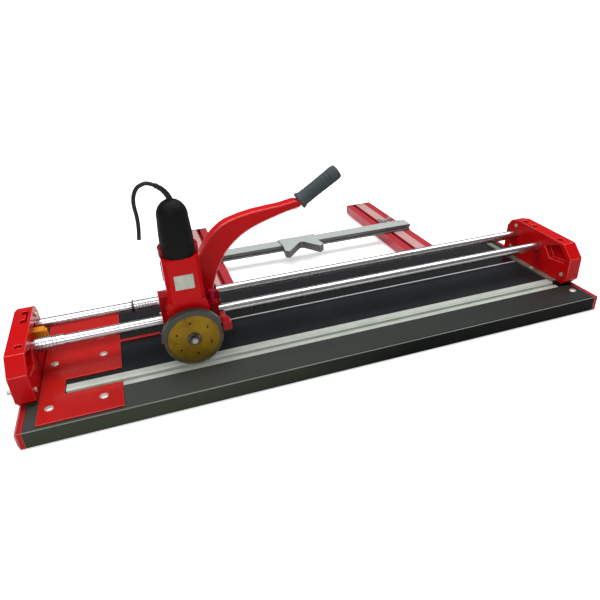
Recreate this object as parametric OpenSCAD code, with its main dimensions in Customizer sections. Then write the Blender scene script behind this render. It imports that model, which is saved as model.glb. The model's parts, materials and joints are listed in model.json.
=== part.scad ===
// Rail tile cutter with a scoring and breaking lever and a motor saw on one carriage.
// Millimetres, +Z up, +X along the rails, +Y from the front edge to the side arms.
// Heights are above the surface that the feet stand on.

/* [Table] */
// Length of the table between the end caps
table_l = 1174; // [1160:2:1190]
// Depth of the table from front to back
table_w = 375; // [366:1:380]
// Height of the table top
table_top = 35; // [33:0.5:36]
// Thickness of the end caps
cap_t = 14; // [12:1:16]
// Wall thickness of the table profile
wall = 3; // [2:0.5:4]

/* [Rails] */
// Radius of both rails
rail_r = 10.5; // [9.5:0.5:11]
// Distance of the front rail from the front edge
front_rail_y = 172; // [170:1:174]
// Distance of the rear rail from the front edge
rear_rail_y = 255; // [253:1:257]
// Height of the rail axes
rail_z = 95; // [94:0.5:97]

/* [Carriage] */
// Left side of the carriage where it is parked
carriage_left = -331; // [-334:1:-328]
// Front face of the carriage
carriage_front = 142; // [142:1:144]
// Height of the lever pivot
pivot_z = 112; // [110:1:114]
// Radius of the lever grip
grip_r = 15.6; // [14:0.2:16]

/* [Saw] */
// Blade radius
blade_r = 55; // [52:1:55]
// Blade thickness
blade_t = 2; // [1.6:0.2:2.4]
// Position of the saw along the rails where it is parked
saw_x = -282; // [-284:1:-281]
// Height of the spindle axis at rest
spindle_z = 93.5; // [93.5:0.5:95]
// Radius of the motor housing where it meets the gear case
motor_r = 30.5; // [30:0.5:31]

/* [Arms and fence] */
// Width of each side arm
arm_w = 84; // [80:1:88]
// Overall depth from the front edge to the ends of the arms
overall_depth = 807; // [780:1:840]
// Front face of the fence bar
fence_front = 528; // [500:1:560]
// Depth of the fence bar
fence_w = 40; // [34:1:42]
// Height of the fence bar
fence_h = 18; // [15:1:20]

/* [Hidden] */

$fn = 64;
half_l = table_l / 2;
foot_h = 2;
fit_gap = 0.05;
loose_gap = 0.3;
deck_t = 2;
pad_t = 3;
ridge_y = 70;
ridge_w = 39;
ridge_seat = 30;
groove_y0 = 80.5;
groove_y1 = 87.5;
deck_end = half_l - 1;

plate_t = 3.5;
plate_z = table_top + plate_t;
plate_x0 = -565;
plate_x1 = -422;
tongue_x = -341;
trim_y = 220.8;
slot_x0 = -523;
slot_y0 = 80;
slot_y1 = 125;
right_plate_x = 552;

house_in = 567;
house_out = 600;
rail_end = 592;
collar_r = 13.5;

red = "firebrick";
rail_bore_r = 15;
post_y = 178;
post_r = 6;
post_xs = [-306, -262];
pivot_x = -228;
lever_y0 = 192;
lever_y1 = 218;
lever_mid = (lever_y0 + lever_y1) / 2;
grip_from = [-26.5, 284.5];
grip_angle = 31.7;
grip_l = 98;

foot_x0 = -226;
foot_x1 = -209.5;
foot_y0 = 80;
foot_y1 = 106;
foot_z0 = 100;
foot_z1 = 117;
rod_x = -232;
rod_y = 150;
rod_r = 5;
wheel_x = -218;
wheel_r = 7;

motor_y = 127;
motor_z0 = 249;
seam_z = 320;
motor_top = 350;
case_half = 33;
case_y0 = 97;
case_y1 = 163;
case_z0 = 165;
spindle_r = 5;
bearing_r = 13;
blade_y = 83;
gear_r = 26;
pinion_r = 8.125;
apex_gap = 0.35;
guard_r = 60;

left_arm_x = -228;
right_arm_x = 336;
arm_z0 = 8;
arm_y0 = table_w;
arm_cap_t = 6;
arm_y1 = overall_depth - arm_cap_t;
track_off = 25;
track_mouth = 4;
track_half = 8;
fence_x0 = -152;
fence_x1 = 421;
fence_top = table_top + fence_h;
fence_rear = fence_front + fence_w;
clamp_y0 = fence_rear;
clamp_w = 26;
clamp_y = clamp_y0 + clamp_w / 2;
stop_x = 83;

// Places a piece drawn from the front edge so that the origin is under the middle.
module at_frame() {
    translate([0, -overall_depth / 2, 0]) children();
}

// Box between two corners.
module slab(a, b) {
    translate(a) cube([b[0] - a[0], b[1] - a[1], b[2] - a[2]]);
}

// Round bar along X.
module x_rod(y, z, r, x0, x1) {
    translate([x0, y, z]) rotate([0, 90, 0]) cylinder(r = r, h = x1 - x0);
}

// Round bar along Y.
module y_rod(x, z, r, y0, y1) {
    translate([x, y1, z]) rotate([90, 0, 0]) cylinder(r = r, h = y1 - y0);
}

// Round bar along Z.
module z_rod(x, y, r, z0, z1) {
    translate([x, y, z0]) cylinder(r = r, h = z1 - z0);
}

// Outline in Y and Z, drawn out along X.
module x_prism(points, x0, x1) {
    translate([x0, 0, 0]) rotate([90, 0, 90]) linear_extrude(x1 - x0) polygon(points);
}

// Outline in X and Z, drawn out along Y.
module y_prism(points, y0, y1) {
    translate([0, y1, 0]) rotate([90, 0, 0]) linear_extrude(y1 - y0) polygon(points);
}

// Low domed bolt head on a horizontal face.
module dome_head(x, y, z, r, h) {
    translate([x, y, z]) rotate_extrude() polygon(dome_outline(r, h));
}

function dome_outline(r, h) = concat(
    [[0, 0]],
    [for (i = [0 : 6]) [r * cos(15 * i), h * (0.3 + 0.7 * sin(15 * i)) * (i == 0 ? 0 : 1)]]
);

// Unit tangent of a route at one of its points.
function tangent(p, i) =
    let (a = p[max(i - 1, 0)], b = p[min(i + 1, len(p) - 1)], d = b - a)
    d / norm(d);

// Ring of points about a route point; the route lies in a plane square to Y.
function route_ring(p, i, r, n) =
    let (t = tangent(p, i), u = [0, 1, 0], v = cross(t, u))
    [for (k = [0 : n - 1]) p[i] + r * (cos(360 * k / n) * u + sin(360 * k / n) * v)];

// Points between the hand-placed ones, on a smooth curve through them.
function smooth_route(p, steps) = [
    for (i = [0 : len(p) - 2], s = [0 : steps - 1])
        let (
            a = p[max(i - 1, 0)], b = p[i], c = p[i + 1], d = p[min(i + 2, len(p) - 1)],
            u = s / steps
        )
        0.5 * (2 * b + u * (c - a) + u * u * (2 * a - 5 * b + 4 * c - d)
            + u * u * u * (3 * b - a - 3 * c + d)),
    p[len(p) - 1],
];

// Closed tube along a route; radii holds one value per point.
module tube(route, radii, n) {
    rings = [for (i = [0 : len(route) - 1]) each route_ring(route, i, radii[i], n)];
    last = len(route) - 1;
    polyhedron(
        points = rings,
        faces = concat(
            [[for (k = [0 : n - 1]) k]],
            [for (i = [0 : last - 1], k = [0 : n - 1])
                [i * n + k, (i + 1) * n + k, (i + 1) * n + (k + 1) % n, i * n + (k + 1) % n]],
            [[for (k = [n - 1 : -1 : 0]) last * n + k]]
        )
    );
}

// ---------- Table ----------

// Extruded table with closed cells, a seat for the ridge and recesses for the decks.
module base_table() {
    cell = (table_w - wall) / 5 - wall;
    color("#2b2d2c") at_frame() difference() {
        x_prism(
            [[0, foot_h + 1], [1, foot_h], [table_w, foot_h], [table_w, table_top],
             [1.5, table_top], [0, table_top - 1.5]],
            -half_l, half_l
        );
        for (i = [0 : 4])
            slab([-half_l - 1, wall + i * (cell + wall), foot_h + wall],
                 [half_l + 1, (i + 1) * (cell + wall), ridge_seat - wall]);
        slab([-half_l - 1, 4, table_top - deck_t], [half_l + 1, ridge_y - 1, table_top + 1]);
        slab([slot_x0 + 1, ridge_y, ridge_seat], [right_plate_x, ridge_y + ridge_w, table_top + 1]);
        slab([-half_l - 1, 110, table_top - pad_t], [half_l + 1, 224, table_top + 1]);
        slab([-half_l - 1, 225, table_top - deck_t], [half_l + 1, table_w - 2, table_top + 1]);
        for (x = [left_arm_x, right_arm_x], dx = [12, arm_w - 12])
            y_rod(x + dx, 16, 4 + fit_gap, table_w - wall - 4, table_w + 1);
    }
}

// Anodised sheet along the front of the table.
module front_deck() {
    color("#3c3e3a") at_frame()
        slab([-deck_end, 4, table_top - deck_t], [deck_end, ridge_y - 1, table_top]);
}

// Rubber sheet behind the ridge.
module centre_pad() {
    color("#23262a") at_frame()
        slab([-deck_end, 110, table_top - pad_t], [deck_end, 220.5, table_top]);
}

// Polished black sheet under the rails.
module rear_deck() {
    color("#17191b") at_frame()
        slab([-deck_end, 225, table_top - deck_t], [deck_end, table_w - 2, table_top]);
}

// Aluminium strip with the blade groove and the ridge that a tile snaps over.
module breaking_ridge() {
    ridge_top = table_top + 1.8;
    color("#969b98") at_frame() x_prism(
        [[ridge_y, ridge_seat], [ridge_y + ridge_w, ridge_seat], [ridge_y + ridge_w, ridge_top],
         [97, ridge_top], [95.5, ridge_top + 1.5], [92.5, ridge_top + 1.5], [91, ridge_top],
         [groove_y1, ridge_top], [groove_y1, ridge_seat + 1.5], [groove_y0, ridge_seat + 1.5],
         [groove_y0, table_top], [ridge_y, table_top]],
        slot_x0 + 2, right_plate_x - 1
    );
}

// Bright strip between the pad and the rear sheet.
module edge_trim() {
    color("#d8dadb") at_frame()
        slab([tongue_x + 1, trim_y, table_top - pad_t], [right_plate_x - 1, trim_y + 3, table_top + 1.2]);
}

// Steel plate at the left end, slotted for the blade at the end of its travel,
// with a narrow tongue between the pad and the rear sheet.
module left_foot_plate() {
    color(red) at_frame() difference() {
        union() {
            slab([plate_x0, 7, table_top], [plate_x1, 346, plate_z]);
            slab([plate_x1, trim_y - 0.5, table_top], [tongue_x, 229, plate_z]);
        }
        slab([slot_x0, slot_y0, table_top - 1], [plate_x1 + 1, slot_y1, plate_z + 1]);
    }
}

// Narrow steel plate at the right end.
module right_foot_plate() {
    color("#8f2626") at_frame()
        slab([right_plate_x, 95, table_top], [house_in - 1, 340, plate_z]);
}

// Domed bolts that hold the plates and the right end of the front deck.
module plate_bolts() {
    color("#c9c2b8") at_frame() union() {
        for (x = [-546, -455], y = [45, 184]) dome_head(x, y, plate_z, 8, 3.5);
        dome_head(565, 42, table_top, 7.5, 3.5);
        dome_head(559.5, 171, plate_z, 6, 3);
    }
}

// Bevelled plastic cap on one end of the table.
module end_cap(side) {
    out = half_l + cap_t;
    mirror([side < 0 ? 1 : 0, 0, 0]) intersection() {
        y_prism(
            [[half_l, foot_h], [out - 5, foot_h], [out, foot_h + 5], [out, table_top - 6],
             [out - 5, table_top], [half_l, table_top]],
            0, table_w
        );
        linear_extrude(table_top)
            polygon([[half_l, 0], [out - 5, 0], [out, 7], [out, table_w - 7],
                     [out - 5, table_w], [half_l, table_w]]);
    }
}

module left_end_cap() {
    color(red) at_frame() end_cap(-1);
}

module right_end_cap() {
    color(red) at_frame() end_cap(1);
}

// Cast housing that holds the ends of both rails.
module housing(side) {
    mirror([side < 0 ? 1 : 0, 0, 0]) difference() {
        intersection() {
            x_prism(
                [[78, table_top], [67, 48], [68, 100], [96, 128], [250, 134], [276, 127],
                 [288, 110], [290, table_top]],
                house_in, house_out
            );
            y_prism(
                [[house_in, table_top], [house_out - 2, table_top], [house_out, 48],
                 [house_out, 134], [house_out - 2.5, 140], [house_in, 140]],
                0, 400
            );
        }
        x_rod(front_rail_y, rail_z, rail_r + fit_gap, house_in - 1, rail_end + 1);
        x_rod(rear_rail_y, rail_z, rail_r + fit_gap, house_in - 1, rail_end + 1);
        x_prism([[150, 104], [108, 122], [82, 98], [86, 86], [130, 80]], house_in - 1, house_in + 15);
        if (side < 0) slab([house_in - 1, 195, 76], [house_in + 14, 231, 114]);
        for (y = [120, 206, 238])
            slab([573, y - 6, 122], [586, y + 6, 140]);
        slab([573, 206, 122], [577, 238, 140]);
    }
}

module left_housing() {
    color(red) at_frame() housing(-1);
}

module right_housing() {
    color(red) at_frame() housing(1);
}

// Bolts of the housings and of the arm joints.
module frame_bolts() {
    color("#b9bcbe") at_frame() union() {
        for (side = [-1, 1]) mirror([side < 0 ? 1 : 0, 0, 0]) {
            x_rod(92, 57.5, 7.5, house_out, house_out + 6);
            x_rod(92, 57.5, 4, house_out + 6, house_out + 13);
            x_rod(84, 58, 4.5, house_in - 3, house_in);
            x_rod(254, 119, 4.5, house_in - 3, house_in);
            x_rod(262, 60, 4.5, house_in - 3, house_in);
        }
        for (x = [left_arm_x, right_arm_x], dx = [12, arm_w - 12])
            y_rod(x + dx, 16, 4, table_w - wall - 3, table_w + 3);
    }
}

// ---------- Rails ----------

module front_rail() {
    color("#dfe2e4") at_frame() x_rod(front_rail_y, rail_z, rail_r, -rail_end, rail_end);
}

module rear_rail() {
    color("#dfe2e4") at_frame() x_rod(rear_rail_y, rail_z, rail_r, -rail_end, rail_end);
}

// Stepped stop collar at the left end of the front rail.
module rail_collar() {
    color("#cdd1d3") at_frame() difference() {
        union() {
            x_rod(front_rail_y, rail_z, collar_r, -563, -534);
            for (x = [-532.5, -526, -519.5])
                x_rod(front_rail_y, rail_z, collar_r - 1, x, x + 5);
            x_rod(front_rail_y, rail_z, collar_r - 1.8, -534, -512);
        }
        x_rod(front_rail_y, rail_z, rail_r + 0.02, -564, -511);
    }
}

// Plastic bumper for the carriage, between the rails at the left end.
module bumper() {
    color("#e39a1c") at_frame() union() {
        slab([-house_in - 13, 203, 85], [-house_in + 17, 223, 107]);
        slab([-house_in + 17, 206, 88], [-house_in + 21, 220, 104]);
    }
}

// Rubber feet of the table and of the arms.
module rubber_feet() {
    color("#1c1c1d") at_frame() union() {
        for (x = [-540, 0, 540], y = [30, 345]) z_rod(x, y, 14, 0, foot_h);
        for (x = [left_arm_x, right_arm_x]) z_rod(x + arm_w / 2, 770, 15, 0, arm_z0);
    }
}

// ---------- Arms ----------

// Extruded arm with a clamping track and a seat for its scale; x0 is its left edge.
module arm(x0, flip) {
    tx = flip ? x0 + arm_w - track_off : x0 + track_off;
    sx = flip ? x0 + arm_w - 60 : x0 + 32;
    color("#b3282c") at_frame() difference() {
        slab([x0, arm_y0, arm_z0], [x0 + arm_w, arm_y1, table_top]);
        slab([tx - track_mouth, arm_y0 + 2, 26], [tx + track_mouth, arm_y1 + 1, table_top + 1]);
        slab([tx - track_half, arm_y0 + 2, 19], [tx + track_half, arm_y1 + 1, 27]);
        slab([sx, arm_y0 + 2, table_top - 1], [sx + 28, arm_y1 + 1, table_top + 1]);
        slab([x0 + 4, arm_y0 + 8, arm_z0 + 2.5], [x0 + arm_w - 4, arm_y1 + 1, 16.5]);
        for (dx = [12, arm_w - 12]) y_rod(x0 + dx, 16, 4, arm_y0 - 1, arm_y0 + 3);
    }
}

module left_arm() {
    arm(left_arm_x, true);
}

module right_arm() {
    arm(right_arm_x, false);
}

// Measuring strips let into the tops of the arms.
module arm_scales() {
    color("#c9b7b2") at_frame() union() {
        slab([left_arm_x + arm_w - 60, arm_y0 + 2, table_top - 1],
             [left_arm_x + arm_w - 32, arm_y1, table_top]);
        slab([right_arm_x + 32, arm_y0 + 2, table_top - 1],
             [right_arm_x + 60, arm_y1, table_top]);
    }
}

// Plastic caps that close the ends of the arms.
module arm_end_caps() {
    color("#2a2a2b") at_frame() union()
        for (x = [left_arm_x, right_arm_x])
            slab([x, arm_y1, arm_z0], [x + arm_w, arm_y1 + arm_cap_t, table_top]);
}

// ---------- Carriage ----------

function carriage_outline() = [
    [carriage_front, 76], [carriage_front + 4, 72], [280, 72], [285, 78], [285, 98], [275, 110],
    [250, 114], [200, 138], [188, 147], [166, 160], [carriage_front, 160],
];

// Cast body that rides on both rails and carries the saw, the lever and the breaking foot.
module carriage_body() {
    color("#a51a1c") at_frame() difference() {
        union() {
            x_prism(carriage_outline(), carriage_left, -243);
            intersection() {
                x_prism(carriage_outline(), -243, -212);
                union() {
                    slab([-243, 184, 90], [-212, 191, 130]);
                    slab([-243, 219, 70], [-212, 290, 130]);
                }
            }
            slab([-243, 141, 98], [-222, 160, 127]);
        }
        x_rod(front_rail_y, rail_z, rail_bore_r, carriage_left - 1, -242);
        x_rod(rear_rail_y, rail_z, rail_bore_r, carriage_left - 1, -211);
        slab([-268, 191, 88], [-205, 219, 170]);
        slab([carriage_left + 6, 192, 71], [-272, 235, 118]);
        z_rod(rod_x, rod_y, rod_r + fit_gap, 97, 150);
        for (x = post_xs) z_rod(x, post_y, post_r + 0.02, 125, 170);
        y_rod(pivot_x, pivot_z, 6.02, 183, 232);
    }
}

// Bronze bushes that run on the rails.
module carriage_bushes() {
    color("#a98746") at_frame() difference() {
        union() {
            for (x = [carriage_left, -271]) x_rod(front_rail_y, rail_z, rail_bore_r, x, x + 28);
            for (x = [carriage_left, -240]) x_rod(rear_rail_y, rail_z, rail_bore_r, x, x + 28);
        }
        x_rod(front_rail_y, rail_z, rail_r + fit_gap, -340, -205);
        x_rod(rear_rail_y, rail_z, rail_r + fit_gap, -340, -205);
    }
}

// Dust sleeve and wiper ring on the rear rail, left of the carriage.
module rear_sleeve() {
    color("#55585a") at_frame() difference() {
        union() {
            x_rod(rear_rail_y, rail_z, rail_r + 1.2, -380, carriage_left);
            x_rod(rear_rail_y, rail_z, rail_r + 2.6, -385, -380);
            for (x = [-370 : 9 : -340]) x_rod(rear_rail_y, rail_z, rail_r + 1.8, x, x + 4);
        }
        x_rod(rear_rail_y, rail_z, rail_r + fit_gap, -386, -330);
    }
}

// Posts that the saw slides on, and the pin of the lever.
module carriage_pins() {
    color("#c4c7c9") at_frame() union() {
        for (x = post_xs) z_rod(x, post_y, post_r, 125, 240);
        y_rod(pivot_x, pivot_z, 6, 184, 232);
        y_rod(pivot_x, pivot_z, 0.1 + 6 * 0.6, 183.2, 184);
    }
}

// Screws on the right side of the carriage.
module carriage_bolts() {
    color("#d2d4d6") at_frame() union() {
        x_rod(229, 106, 4.5, -212, -206);
        x_rod(229, 84, 4.5, -212, -206);
        x_rod(277, 88, 3.5, -212, -208);
        for (y = [158, 232], z = [80, 104]) x_rod(y, z - 2, 3, carriage_left - 3, carriage_left);
    }
}

// ---------- Lever ----------

function lever_points() = [
    [-243, 112], [-249, 140], [-250, 168], [-247, 190], [-239, 211], [-218, 241], [-200, 257.5],
    [-176, 270.5], [-126, 281.5], [-68, 286], [-38, 291], [-24, 285], [-28, 276], [-55, 270.5],
    [-81, 263.5], [-110, 255], [-137, 244.5], [-158, 232], [-177, 216], [-190, 201], [-200, 185],
    [-208, 170], [-214, 154], [-221, 132], [-219, 112],
];
function lever_outline() = smooth_route(lever_points(), 2);

// Curved lever with a hub at its lower end and a tang inside the grip.
module lever_arm() {
    color("#c01f22") at_frame() difference() {
        union() {
            y_prism(lever_outline(), lever_y0, lever_y1);
            y_rod(pivot_x, pivot_z, 15, lever_y0, lever_y1);
            translate([grip_from[0], lever_mid, grip_from[1]]) rotate([0, 90 - grip_angle, 0])
                translate([0, 0, -14]) cylinder(r = 9, h = grip_l - 2);
        }
        y_rod(pivot_x, pivot_z, 6 + fit_gap, lever_y0 - 1, lever_y1 + 1);
        slab([-300, lever_y0 - 1, 60], [-268.5, lever_y1 + 1, 320]);
    }
}

// Rubber grip with a collar, slid over the tang.
module lever_grip() {
    color("#2b2c2e") at_frame() translate([grip_from[0], lever_mid, grip_from[1]])
        rotate([0, 90 - grip_angle, 0]) difference() {
            rotate_extrude() polygon([
                [9, 0], [grip_r + 1.6, 0], [grip_r + 2, 3], [grip_r + 1.6, 6], [grip_r - 0.6, 9],
                [grip_r - 0.8, 40], [grip_r, grip_l - 8], [grip_r - 1, grip_l - 2],
                [grip_r - 3, grip_l], [0, grip_l], [0, grip_l - 14], [9, grip_l - 16],
            ]);
            for (z = [22 : 9 : 76]) translate([0, 0, z]) difference() {
                cylinder(r = grip_r + 3, h = 1.6);
                cylinder(r = grip_r - 1.6, h = 1.6);
            }
        }
}

// ---------- Breaking foot ----------

// Block that presses the tile on both sides of the ridge, with its guide arm.
module foot_block() {
    color("#b01e22") at_frame() difference() {
        union() {
            intersection() {
                y_prism([[foot_x0, foot_z0], [foot_x1, foot_z0], [foot_x1, foot_z1 - 3],
                         [foot_x1 - 3, foot_z1], [foot_x0 + 2, foot_z1], [foot_x0, foot_z1 - 2]],
                        foot_y0, foot_y1);
                x_prism([[foot_y0, foot_z0], [foot_y0, foot_z1], [97, foot_z1], [100, 111],
                         [foot_y1, 111], [foot_y1, foot_z0]], foot_x0, foot_x1);
            }
            x_prism([[foot_y1 - 1, 110], [foot_y1 - 1, 101], [138, 86], [157, 86], [157, 97],
                     [136, 97], [foot_y1 + 6, 110]], foot_x0 + 2, foot_x1);
            slab([-239, 143, 86], [foot_x0 + 2, 157, 97]);
        }
        z_rod(rod_x, rod_y, rod_r + 0.01, 85, 98);
        slab([foot_x0 - 1, 91.2, foot_z0 - 1], [foot_x1 + 1, 94.8, foot_z0 + 9.5]);
        y_rod(wheel_x, foot_z0 + 2, 1.52, foot_y0 + 2, foot_y1 - 2);
    }
}

// Rubber strips under the block.
module foot_pads() {
    color("#232324") at_frame() union() {
        slab([foot_x0, foot_y0, foot_z0 - 3], [foot_x1, 88, foot_z0]);
        slab([foot_x0, 98, foot_z0 - 3], [foot_x1, foot_y1, foot_z0]);
    }
}

// Guide rod of the foot and axle of the scoring wheel.
module foot_pins() {
    color("#c4c7c9") at_frame() union() {
        z_rod(rod_x, rod_y, rod_r, 86, 153);
        y_rod(wheel_x, foot_z0 + 2, 1.5, foot_y0 + 2.1, foot_y1 - 2.1);
    }
}

// Hardened wheel that scores the glaze.
module scoring_wheel() {
    color("#8d9194") at_frame() difference() {
        translate([wheel_x, 93, foot_z0 + 2]) rotate([90, 0, 0]) rotate_extrude()
            polygon([[0, -1.4], [4.5, -1.4], [wheel_r, -0.15], [wheel_r, 0.15], [4.5, 1.4], [0, 1.4]]);
        y_rod(wheel_x, foot_z0 + 2, 1.5 + fit_gap, 90, 96);
    }
}

// ---------- Saw: fixed pieces ----------

// Half outline of the dome, from the seam to the top.
function dome_arc(r, h, n) = [for (i = [0 : n]) [r * cos(90 * i / n), seam_z + h * sin(90 * i / n)]];

// Barrel of the motor.
module motor_housing() {
    color("#1f1f20") at_frame() translate([saw_x, motor_y, 0]) difference() {
        rotate_extrude() polygon([
            [26.5, motor_z0], [motor_r, motor_z0], [motor_r, 264], [motor_r - 1, 290],
            [motor_r - 3, 316], [motor_r - 3.6, 319], [motor_r - 3.6, seam_z], [24, seam_z],
            [24, 306], [26.5, 304],
        ]);
        slab([-5.3, 20, 281], [5.3, 40, 307]);
        for (a = [40, 140], z = [268.5 : 6 : 286.5]) rotate([0, 0, a])
            translate([15, -7, z]) cube([30, 14, 2.4]);
    }
}

// Domed end cap with the upper bearing seat and the cord hole.
module motor_cap() {
    cap_r = motor_r - 3;
    color("#232324") at_frame() translate([saw_x, motor_y, 0]) difference() {
        rotate_extrude() polygon(concat([[0, seam_z]], dome_arc(cap_r, motor_top - seam_z, 10)));
        difference() {
            rotate_extrude()
                polygon(concat([[0, seam_z - 1], [cap_r - 3, seam_z - 1]],
                               dome_arc(cap_r - 3, motor_top - seam_z - 4, 10)));
            z_rod(0, 0, 14, 329, motor_top);
        }
        z_rod(0, 0, 10, seam_z - 1, 338.5);
        z_rod(0, 0, 6, 338, 341.5);
        z_rod(0, 0, 6, 343.5, motor_top + 1);
    }
}

// Cast case of the bevel gears, under the motor and behind the blade.
module gear_case() {
    color("#c8191c") at_frame() difference() {
        union() {
            translate([saw_x, 0, case_z0]) linear_extrude(motor_z0 - case_z0) polygon([
                [-case_half, case_y0 + 7], [-case_half + 7, case_y0], [case_half - 7, case_y0],
                [case_half, case_y0 + 7], [case_half, case_y1 - 7], [case_half - 7, case_y1],
                [-case_half + 7, case_y1], [-case_half, case_y1 - 7],
            ]);
            translate([saw_x, 0, 0]) y_prism([
                [-33, case_z0], [33, case_z0], [38, 146], [36, 112], [-36, 112], [-40, 146],
            ], case_y0, 140);
            y_rod(saw_x, spindle_z, 36, case_y0, 140);
        }
        slab([saw_x - 28, case_y0 + 5, 171], [saw_x + 28, case_y1 - 5, 243]);
        y_rod(saw_x, spindle_z, 29, 109, 134);
        z_rod(saw_x, motor_y, 12.5, spindle_z, 175);
        z_rod(saw_x, motor_y, 11, 242, motor_z0 + 1);
        y_rod(saw_x, spindle_z, bearing_r, case_y0 - 1, 110);
        y_rod(saw_x, spindle_z, 9, 133, 138);
    }
}

// Plain plate on the front of the gear case.
module label_plate() {
    color("#b5b3ad") at_frame() slab([-299.5, case_y0 - 0.8, 191], [-265, case_y0, 219]);
}

// Bracket that clamps the motor and slides on the posts.
module saw_bracket() {
    color("#a51a1c") at_frame() difference() {
        union() {
            slab([saw_x - 28, case_y1, 170], [saw_x + 33, 168, 249]);
            slab([-316, 168, 180], [-249, 190, 214]);
            intersection() {
                z_rod(saw_x, motor_y, motor_r + 5, motor_z0 + 1, 266);
                slab([saw_x - 50, 116, 240], [saw_x + 50, 166, 270]);
            }
            slab([saw_x - 20, 158, motor_z0], [saw_x + 20, 168, 266]);
        }
        z_rod(saw_x, motor_y, motor_r + fit_gap, motor_z0 - 1, 270);
        for (x = post_xs) z_rod(x, post_y, post_r + fit_gap, 179, 217);
        y_rod(-284, 197, 3.05, 176, 191);
    }
}

// Knob that locks the height of the saw.
module saw_lock_knob() {
    color("#242425") at_frame() union() {
        y_rod(-284, 197, 3, 180, 191);
        y_rod(-284, 197, 10.5, 190.5, 206);
        for (a = [0 : 45 : 315]) translate([-284, 206, 197]) rotate([90, 0, 0]) rotate([0, 0, a])
            translate([10.5, 0, 0]) cylinder(r = 2, h = 13);
    }
}

// Steel guard around the upper edge of the blade.
module blade_guard() {
    color("#8b8f91") at_frame() difference() {
        intersection() {
            union() {
                difference() {
                    y_rod(saw_x, spindle_z, guard_r, 80, 93);
                    y_rod(saw_x, spindle_z, guard_r - 1.6, 81.2, 91);
                    y_rod(saw_x, spindle_z, guard_r - 9, 79, 82);
                }
                y_rod(saw_x, spindle_z, 24, 93, case_y0);
            }
            translate([saw_x, 0, spindle_z]) y_prism(
                [[0, 0], [78, 34], [78, 90], [-78, 90], [-78, 6]], 70, 110
            );
        }
        y_rod(saw_x, spindle_z, 18, 70, 110);
    }
}

// Field ring of the motor.
module stator() {
    color("#6e6a60") at_frame() translate([saw_x, motor_y, 0]) difference() {
        z_rod(0, 0, 26, 268, 303);
        z_rod(0, 0, 17.5, 267, 304);
        for (a = [0, 90, 180, 270]) rotate([0, 0, a]) slab([-3, 16, 267], [3, 20.5, 304]);
        slab([-6, 24.5, 279], [6, 30, 305]);
    }
}

// Holders with the carbon brushes.
module brush_gear() {
    color("#b08d3c") at_frame() translate([saw_x, motor_y, 0]) union()
        for (s = [-1, 1]) slab([s > 0 ? 11 : -22, -4, 309], [s > 0 ? 22 : -11, 4, 318]);
}

// Bearings of the armature and of the spindle.
module bearings() {
    color("#b4b8ba") at_frame() difference() {
        union() {
            z_rod(saw_x, motor_y, 10, 330, 338);
            z_rod(saw_x, motor_y, 11, 243, motor_z0);
            y_rod(saw_x, spindle_z, bearing_r, 100, 108);
            y_rod(saw_x, spindle_z, 9, 133, 138);
        }
        z_rod(saw_x, motor_y, spindle_r + fit_gap, 240, 340);
        y_rod(saw_x, spindle_z, spindle_r + fit_gap, 99, 139);
    }
}

// Route of the cord above the motor, in X and Z.
relief_points = [[-282, 344], [-282, 351], [-286, 360], [-293, 369], [-302, 376]];
cord_points = [
    [-302, 376], [-316, 381], [-330, 376], [-338, 364], [-341, 348], [-340, 326], [-341, 306],
    [-344, 286],
];
relief_route = smooth_route([for (p = relief_points) [p[0], motor_y, p[1]]], 3);
cord_route = smooth_route([for (p = cord_points) [p[0], motor_y, p[1]]], 3);

// Rubber sleeve where the cord leaves the motor.
module strain_relief() {
    color("#1a1a1b") at_frame()
        tube(relief_route, [for (i = [0 : len(relief_route) - 1]) 5.8 - 0.11 * i], 12);
}

// Free end of the mains cord.
module mains_cord() {
    color("#151516") at_frame() tube(cord_route, [for (p = cord_route) 3.5], 10);
}

// Slide switch on the back of the motor.
module power_switch() {
    color("#3a3a3c") at_frame() union() {
        slab([saw_x - 4.8, motor_y + 25, 283], [saw_x + 4.8, motor_y + 31, 297]);
        slab([saw_x - 4, motor_y + 31, 286], [saw_x + 4, motor_y + 33, 294]);
    }
}

// ---------- Saw: turning pieces ----------

// Armature with its shaft, commutator and bevel pinion.
module armature() {
    z_low = spindle_z + 18;
    z_high = spindle_z + 26;
    color("#8a7a5c") at_frame() translate([saw_x, motor_y, 0]) difference() {
        union() {
            z_rod(0, 0, spindle_r, z_high, 337.5);
            z_rod(0, 0, 17, 270, 301);
            z_rod(0, 0, 10.5, 308, 320);
            translate([0, 0, z_low])
                cylinder(r1 = pinion_r * 18 / 26 - apex_gap, r2 = pinion_r - apex_gap, h = 8);
        }
        for (a = [0 : 36 : 324]) rotate([0, 0, a])
            translate([pinion_r - 1.6, -0.7, z_low - 1]) cube([4, 1.4, 8]);
        for (a = [0 : 30 : 330]) rotate([0, 0, a]) translate([15.5, -0.8, 269]) cube([3, 1.6, 33]);
    }
}

// Cooling fan on the armature.
module motor_fan() {
    color("#3b3f42") at_frame() translate([saw_x, motor_y, 0]) difference() {
        union() {
            z_rod(0, 0, 23, 252, 254);
            z_rod(0, 0, 9, 252, 263);
            for (a = [0 : 30 : 330]) rotate([0, 0, a]) slab([8, -0.8, 253], [22.5, 0.8, 261]);
        }
        z_rod(0, 0, spindle_r + 0.02, 251, 264);
    }
}

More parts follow.
